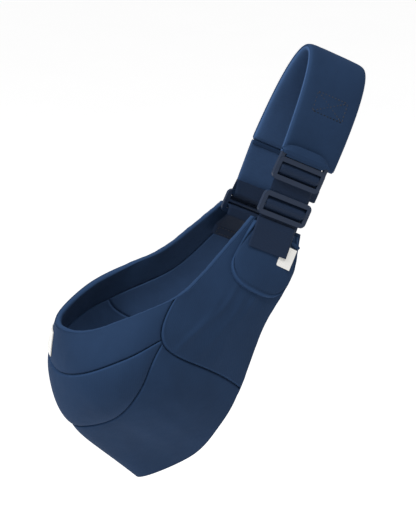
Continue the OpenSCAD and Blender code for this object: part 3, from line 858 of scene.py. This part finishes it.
def inner_panel(name, t, v, kinds, wrinkles, nodes, paint):
    """A lining sheet on the pouch's inner face, 1.2 mm thick with turned-in seams."""
    middle, normal, _ = cloth_frame(t, v)
    far = border_lengths(middle)
    drop = np.zeros_like(t)
    soft = np.ones_like(t)
    for distance, kind in zip(far, kinds):
        change = 0.62 * seam_drop(distance, kind)
        drop = np.minimum(drop, change) + np.maximum(0, change)
        soft = soft * smoothstep(distance / (10.0 if kind == "edge" else 6.0))
    h = FACE + drop + soft * folds(t, v, wrinkles)
    upper = middle - normal * h[..., None]
    under = middle - normal * np.minimum(1.75, h - 0.4)[..., None]
    piece = shell(name, upper, under)
    finish_piece(piece, "pouch", paint, nodes)
    return piece


def build_linings():
    t, v = panel_grid(0, T_END, rim_line, band_edge, 420, 36)
    inner_panel("rim_facing_sheet", t, v, ("edge", "under", "edge", "edge"), FACING_FOLDS,
                ["rim_facing"], navy)
    t, v = panel_grid(0, T_SEAM, band_edge, hem_line, 100, 70)
    inner_panel("front_lining_sheet", t, v, ("over", "edge", "edge", "under"), (),
                ["front_lining"], lining)
    t, v = panel_grid(T_SEAM, T_REAR, band_edge, hem_line, 260, 90)
    inner_panel("seat_lining_sheet", t, v, ("over", "edge", "over", "over"), (),
                ["seat_lining"], lining)
    t, v = panel_grid(T_REAR, T_END, band_edge, hem_line, 100, 70)
    inner_panel("rear_lining_sheet", t, v, ("over", "edge", "under", "edge"), (),
                ["rear_lining"], lining)


def build_roll(name, edge, nodes):
    """The turned edge along the rim or the hem: it carries the cloth over the border."""
    t = np.linspace(0, T_END, 520)
    v = np.full_like(t, float(edge))
    middle, normal, across = cloth_frame(t, v)
    out = across if edge else -across
    a = np.radians(np.linspace(-8, 188, 22))
    side = 0.3 + 3.1 * np.sin(a)
    high = (FACE + 0.02) * np.cos(a)
    swell = 1 + 0.05 * np.sin(t * 9.0) + 0.03 * np.sin(t * 23.0)
    offset = normal[:, None] * high[None, :, None] + out[:, None] * side[None, :, None]
    rings = middle[:, None] + offset * swell[:, None, None]
    # painted highlight over the roll's outer curve
    highlight_share = 0.5 * np.sin(np.clip(a, 0, np.pi))[None, :] * np.ones((len(t), 1))
    piece = loft(name, rings, highlight_share)
    finish_piece(piece, "pouch", navy, nodes)


def flap_place(r, s):
    """t and v on the pouch for the flap's own length share r and width share s."""
    length = 1.05 + 0.45 * (1 - np.abs(2 * s - 1) ** 3) ** (1 / 3)
    t = 0.1 + length * r
    left = 0.09 * t
    return t, left + (0.97 - left) * s


def build_flap(rows=100, cols=110):
    """The padded flap under the webbing: crowned, with a rolled edge and a groove beside it."""
    r = np.linspace(0, 1, rows)[:, None]
    s = (1 - np.cos(np.linspace(0.02, np.pi - 0.02, cols))) / 2
    s = 0.5 * s + 0.5 * np.linspace(0.0, 1, cols)
    s = (s - s[0]) / (s[-1] - s[0])
    t, v = flap_place(r * np.ones((1, cols)), s[None, :] * np.ones((rows, 1)))
    middle, normal, _ = cloth_frame(t, v)
    left, right, _, low = border_lengths(middle)
    edge = np.minimum(np.minimum(left, right), low)
    roll = np.sqrt(np.clip(1 - (1 - np.clip(edge / 2.2, 0, 1)) ** 2, 0.0, 1))
    crown = 1.5 * smoothstep(edge / 16) - 0.9 * dent(edge - 5.0, 1.0)
    h = FACE + 1.3 + 2.9 * roll + crown + 0.5 * dent(edge - 2.3, 1.4)
    upper = middle + normal * h[..., None]
    under = middle + normal * (FACE + 0.4)
    # painted highlight along the flap's rolled edge
    highlight_share = 0.8 * dent(edge - 1.6, 1.5)
    piece = shell("flap_pad", upper, under, highlight_share)
    finish_piece(piece, "pouch", navy, ["flap_padding", "flap_cover"])


# ---- labels, loop and stitching ------------------------------------------------------------------


def build_labels():
    """Blank labels: one on the flap, one on the rim band just past the fold."""
    x, z = np.meshgrid(np.linspace(-9, 9, 24), np.linspace(-11.5, 11.5, 26), indexing="ij")
    curl = 0.35 * np.sin(x / 4 + z / 9)
    c, s = math.cos(math.radians(4)), math.sin(math.radians(4))
    px, pz = x * c + z * s + 15, -x * s + z * c - 210.5
    y = -49.2 + 0.149 * z
    upper = np.stack([px, y - 0.25 - 0.4 * curl, pz], -1)
    under = np.stack([px, y + 0.15 - 0.4 * curl, pz], -1)
    piece = shell("side_label_piece", upper, under)
    finish_piece(piece, "pouch", label, ["side_label"])
    t, v = np.meshgrid(np.linspace(6.3, 6.72, 30), np.linspace(0.03, 0.13, 24), indexing="ij")
    middle, normal, _ = cloth_frame(t, v)
    upper = middle + normal * (FACE + 2.2)
    under = middle + normal * (FACE + 1.2)
    piece = shell("rim_label_piece", upper, under)
    finish_piece(piece, "pouch", label, ["rim_label"])


def build_hanging_loop():
    """The small hanging loop above the side label, pressed flat."""
    a = np.linspace(0, 2 * np.pi, 60)
    c, s = math.cos(math.radians(15)), math.sin(math.radians(15))
    lx, lz = 6.2 * np.cos(a), 1.9 * np.sign(np.sin(a)) * np.abs(np.sin(a)) ** 0.4
    dx, dz = lx * c + lz * s, -lx * s + lz * c
    rings = []
    at_x, at_y, at_z = 21, -46.2, -195.2
    for w, r in ((-0.8, 0.75), (-0.65, 1.0), (0.65, 1.0), (0.8, 0.75)):
        rings.append(np.stack([at_x + dx * r, at_y + w + 0 * dx, at_z + dz * r], -1))
    piece = loft("hanging_loop_piece", np.array(rings))
    finish_piece(piece, "pouch", navy, ["hanging_loop"])


def stitch_rows(name, lines, body, nodes=(), length=2.6, gap=1.2, thick=0.45):
    """Rows of separate stitches. Each line is (points, normals), and lengths are in mm."""
    points, faces, lay = [], [], []
    for line, normal in lines:
        line, normal = np.asarray(line, float), np.asarray(normal, float)
        step = np.linalg.norm(np.diff(line, axis=0), axis=1)
        along = np.concatenate([[0], np.cumsum(step)])
        for start in np.arange(0.3, along[-1] - length, length + gap):
            at = start + np.linspace(0, length, 5)
            p = np.stack([np.interp(at, along, line[:, k]) for k in range(3)], -1)
            n = unit(np.stack([np.interp(at, along, normal[:, k]) for k in range(3)], -1))
            d = unit(np.gradient(p, axis=0))
            b = np.cross(n, d)
            size = thick * np.array([0.25, 0.9, 1.0, 0.9, 0.25])
            sink = thick * np.array([-0.9, 0.1, 0.35, 0.1, -0.9])
            base = len(points)
            for k in range(5):
                for q in range(6):
                    turn = q * math.pi / 3
                    offset = b[k] * math.cos(turn) * size[k] + n[k] * math.sin(turn) * size[k] * 0.7
                    points.append(p[k] + offset + n[k] * sink[k])
                    lay.append([q * 0.4, start + k, 0])
            for k in range(4):
                for q in range(6):
                    e = base + k * 6 + q
                    f = base + k * 6 + (q + 1) % 6
                    faces.append([e, f, f + 6, e + 6])
            faces.append([base + q for q in range(5, -1, -1)])
            faces.append([base + 24 + q for q in range(6)])
    piece = new_piece(name, np.array(points), faces, lay)
    return finish_piece(piece, body, thread, nodes)


def build_stitches():
    """The crossed box on the strap, and the box on the rear webbing."""
    lines = []
    top, low, half = BOX_TOP, BOX_LOW, BOX_HALF
    corners = [(top, -half), (top, half), (low, half), (low, -half), (top, -half), (low, half),
               (low, -half), (top, half)]
    for (s0, x0), (s1, x1) in zip(corners, corners[1:]):
        k = np.linspace(0, 1, 30)
        s, x = s0 + (s1 - s0) * k, x0 + (x1 - x0) * k
        u = -np.sqrt(s / FRONT_LEG)
        p = strap_point(u, x, PAD_OUT - 0.35)
        n = strap_point(u, x, PAD_OUT) - p
        lines.append((p, n))
    stitch_rows("strap_box_stitches", lines, "shoulder_strap", ["shoulder_box_stitching"],
                length=3.4, gap=0.9, thick=0.6)
    lines = []
    corners = [(-29, -213), (11, -213), (11, -220), (-29, -220), (-29, -213)]
    for (x0, z0), (x1, z1) in zip(corners, corners[1:]):
        k = np.linspace(0, 1, 30)
        x, z = x0 + (x1 - x0) * k, z0 + (z1 - z0) * k
        y = np.interp(z, [p[1] for p in REAR_SEWN], [p[0] for p in REAR_SEWN]) - 0.85
        lines.append((np.stack([x, y, z], -1), np.tile([0.0, -1.0, 0.0], (30, 1))))
    stitch_rows("rear_box_stitches", lines, "pouch", ["rear_box_stitching"])


# ---- stage ---------------------------------------------------------------------------------------


def build_stage():
    mesh = bpy.data.meshes.new("floor")
    size, level = 14.0, -1.5
    corners = [(-size, -size, level), (size, -size, level), (size, size, level), (-size, size, level)]
    mesh.from_pydata(corners, [], [(0, 1, 2, 3)])
    floor = bpy.data.objects.new("floor", mesh)
    floor.data.materials.append(floor_paint)
    bpy.context.scene.collection.objects.link(floor)
    world = bpy.data.worlds.new("studio")
    world.use_nodes = True
    background = world.node_tree.nodes["Background"]
    background.inputs["Color"].default_value = (1, 1, 1, 1)
    background.inputs["Strength"].default_value = 0.45
    bpy.context.scene.world = world


def add_light(name, place, aim, size, power):
    data = bpy.data.lights.new(name, "AREA")
    data.shape = "DISK"
    data.size = size
    data.energy = power
    light = bpy.data.objects.new(name, data)
    light.location = place
    light.rotation_euler = (Vector(aim) - Vector(place)).to_track_quat("-Z", "Y").to_euler()
    bpy.context.scene.collection.objects.link(light)


def build_lights():
    centre = (-0.14, 0.0, -0.2)
    add_light("key", (-2.2, -0.5, 1.9), centre, 0.8, 76)
    add_light("top", (0.1, -0.8, 2.2), centre, 0.9, 30)


def build_camera():
    data = bpy.data.cameras.new("camera")
    data.sensor_width = 36
    data.lens = 128.205
    data.clip_end = 60
    camera = bpy.data.objects.new("camera", data)
    camera.location = (-0.9526, -1.7240, 0.4150)
    aim = Vector((-0.1487, 0.0, -0.2030))
    camera.rotation_euler = (aim - camera.location).to_track_quat("-Z", "Y").to_euler()
    bpy.context.scene.collection.objects.link(camera)
    bpy.context.scene.camera = camera


build_stage()
build_lights()
build_camera()
build_shoulder()
build_rear_end()
build_buckles()
build_front_webbing()
build_patch()
build_tail()
build_rear_webbing()
build_tab()
build_outer_panels()
build_linings()
build_roll("rim_roll", 0, ["rim_binding"])
build_roll("hem_roll", 1, ["hem_binding"])
build_flap()
build_labels()
build_hanging_loop()
build_stitches()

bpy.context.scene.view_settings.view_transform = "Standard"
